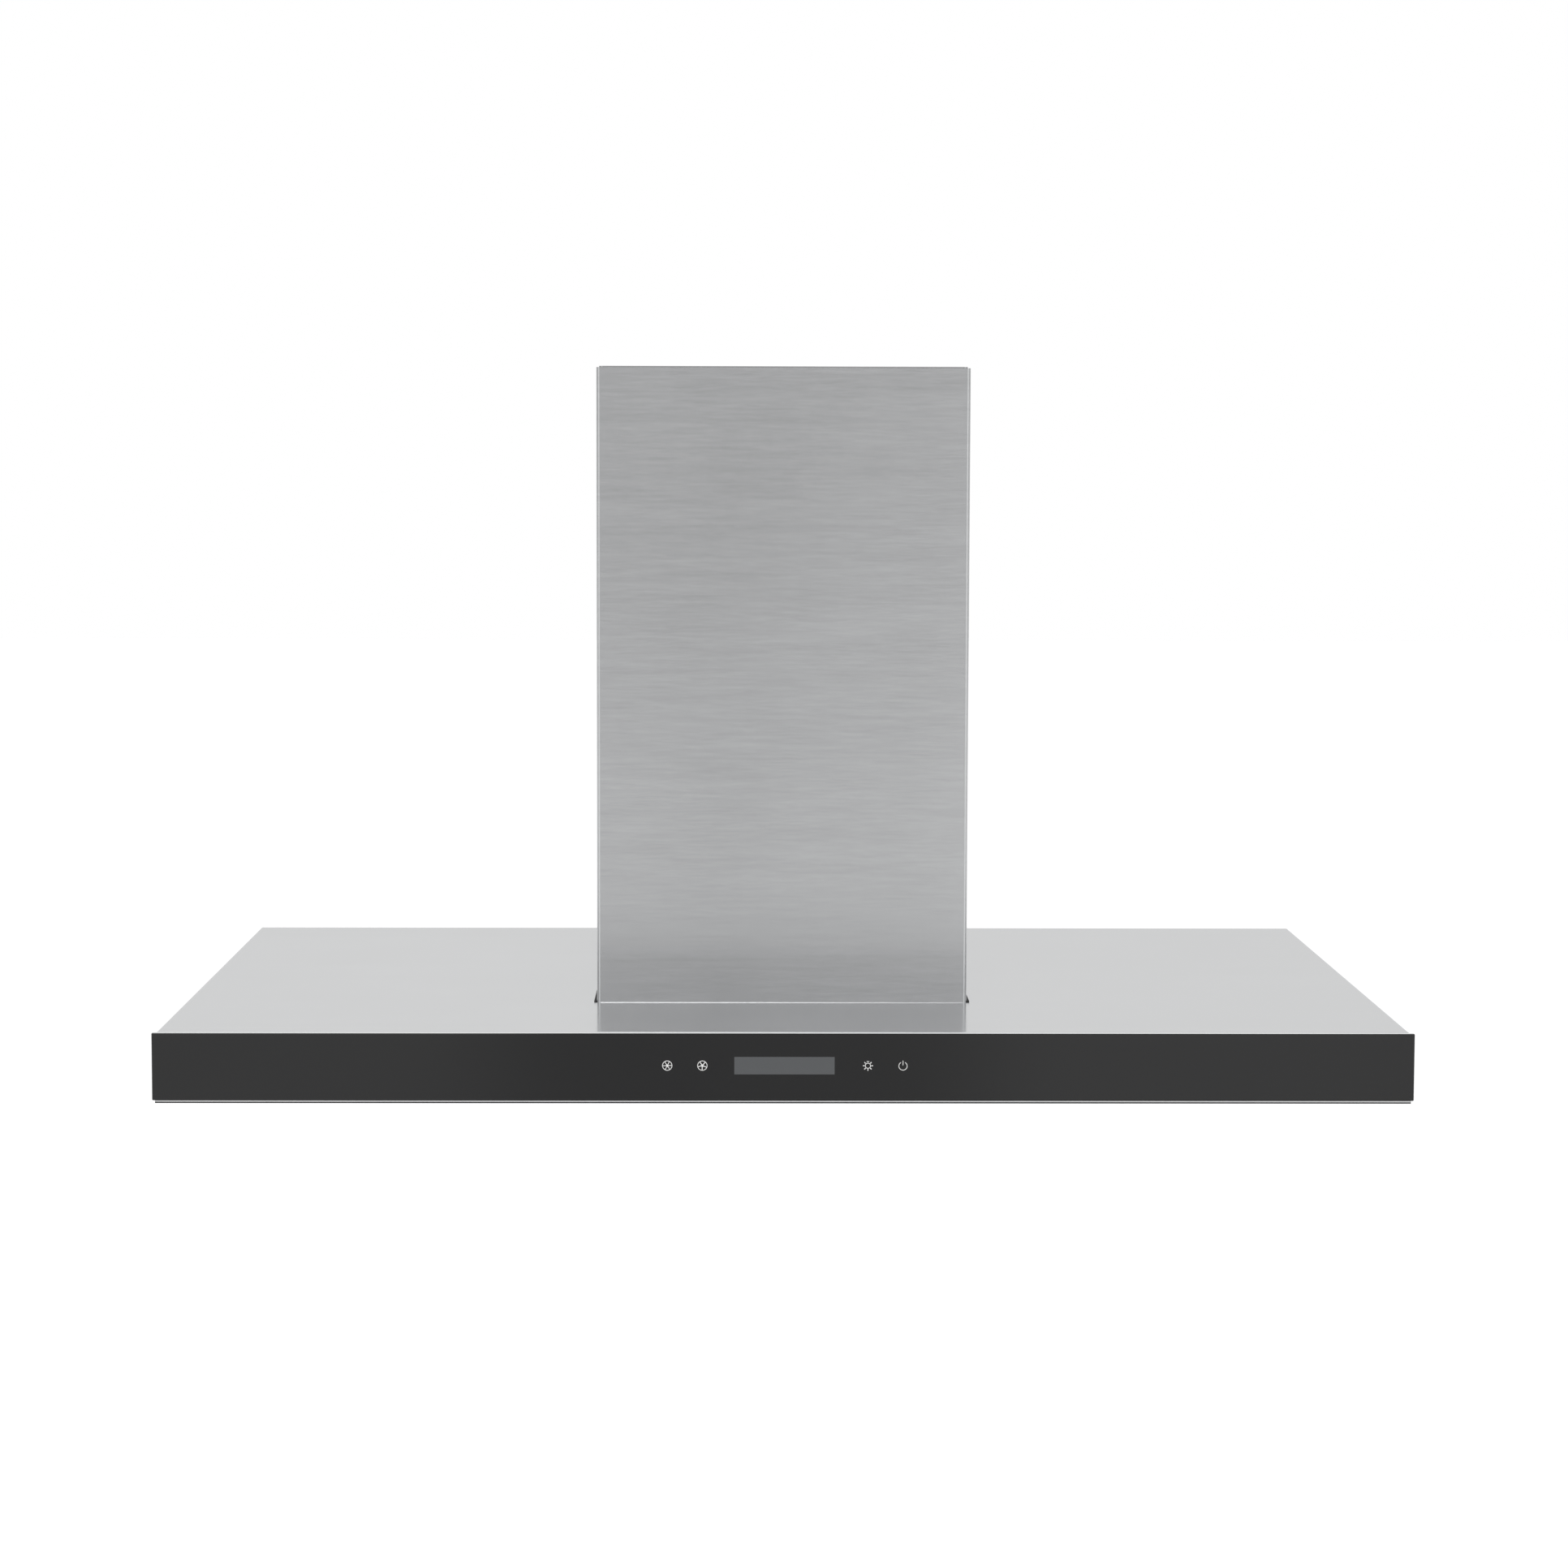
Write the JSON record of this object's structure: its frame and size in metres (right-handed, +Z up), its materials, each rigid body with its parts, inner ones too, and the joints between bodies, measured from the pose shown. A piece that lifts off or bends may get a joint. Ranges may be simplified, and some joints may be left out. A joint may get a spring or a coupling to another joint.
{
  "type": "island range hood",
  "caption": "Flat steel canopy with a black glass touch front, hung from a telescopic rectangular flue over a kitchen island; blower, damper flaps and drop-down baffle filters inside.",
  "frame": {"origin": "middle of the canopy's underside", "axes": "+Z up to the ceiling, -Y towards the glass front, +X to the right seen from the front"},
  "size_m": [0.9, 0.6, 0.5264],
  "materials": {
    "black_glass": "gloss, back printed",
    "black_plastic": "moulded",
    "black_rubber": "matte",
    "circuit_board": "solder mask",
    "display": "smoked window",
    "galvanised": "galvanised sheet",
    "grey_plastic": "moulded",
    "lamp_body": "satin",
    "lamp_lens": "frosted",
    "stainless": "horizontally brushed",
    "tape": "foam tape",
    "wheel_steel": "galvanised",
    "white_print": "fired enamel",
    "zinc_fixings": "zinc plated"
  },
  "bodies": {
    "ceiling_frame": {"ceiling_plate": "galvanised", "upper_leg_front_left": "galvanised", "upper_leg_front_right": "galvanised", "upper_leg_rear_left": "galvanised", "upper_leg_rear_right": "galvanised", "upper_braces": "galvanised", "upper_cover_front": "stainless", "upper_cover_rear": "stainless", "upper_cover_screws": "zinc_fixings"},
    "hood": {"base_seals": "black_rubber", "blower_box": "galvanised", "bottom_panel": "stainless", "brace_band": "galvanised", "cable_gland": "black_plastic", "canopy_shell": "stainless", "capacitor": "black_plastic", "chassis_plate": "galvanised", "chassis_screws": "zinc_fixings", "clamp_bolts": "zinc_fixings", "clamp_nuts": "zinc_fixings", "control_box": "black_plastic", "control_symbols": "white_print", "damper_pin": "zinc_fixings", "display_module": "black_plastic", "display_window": "display", "front_glass": "black_glass", "glass_rail": "stainless", "glass_tape": "tape", "junction_box": "black_plastic", "lamp_housings": "lamp_body", "lamp_lenses": "lamp_lens", "lower_cover_front": "stainless", "lower_cover_rear": "stainless", "lower_cover_screws": "zinc_fixings", "lower_leg_front_left": "galvanised", "lower_leg_front_right": "galvanised", "lower_leg_rear_left": "galvanised", "lower_leg_rear_right": "galvanised", "motor": "galvanised", "motor_bracket": "galvanised", "motor_grommets": "black_rubber", "outlet_collar": "galvanised", "outlet_transition": "galvanised", "panel_screws": "zinc_fixings", "scroll_housing": "galvanised", "touch_board": "circuit_board", "touch_springs": "zinc_fixings"},
    "impeller": {"impeller_wheel": "wheel_steel", "impeller_blades": "wheel_steel", "motor_shaft": "zinc_fixings"},
    "front_flap": {"damper_flap_front": "grey_plastic"},
    "rear_flap": {"damper_flap_rear": "grey_plastic"},
    "left_filter": {"filter_frame_left": "stainless", "filter_baffles_left": "stainless", "filter_handle_left": "stainless", "filter_clip_left": "stainless"},
    "right_filter": {"filter_frame_right": "stainless", "filter_baffles_right": "stainless", "filter_handle_right": "stainless", "filter_clip_right": "stainless"}
  },
  "joints": [
    {"name": "height_slide", "type": "slide", "parent": "ceiling_frame", "child": "hood", "axis": [0, 0, -1], "range_m": [0, 0.36]},
    {"name": "impeller_spin", "type": "hinge", "parent": "hood", "child": "impeller", "pos_m": [0, -0.018, 0.1774], "axis": [1, 0, 0], "continuous": true},
    {"name": "front_flap_swing", "type": "hinge", "parent": "hood", "child": "front_flap", "pos_m": [0, 0, 0.3413], "axis": [1, 0, 0], "range_deg": [-75, 0]},
    {"name": "rear_flap_swing", "type": "hinge", "parent": "hood", "child": "rear_flap", "pos_m": [0, 0, 0.3413], "axis": [1, 0, 0], "range_deg": [0, 75]},
    {"name": "left_filter_drop", "type": "hinge", "parent": "hood", "child": "left_filter", "pos_m": [0, 0.185, 0.009], "axis": [1, 0, 0], "range_deg": [0, 65], "deforming": ["filter_clip_left"]},
    {"name": "right_filter_drop", "type": "hinge", "parent": "hood", "child": "right_filter", "pos_m": [0, 0.185, 0.009], "axis": [1, 0, 0], "range_deg": [0, 65], "deforming": ["filter_clip_right"]}
  ]
}
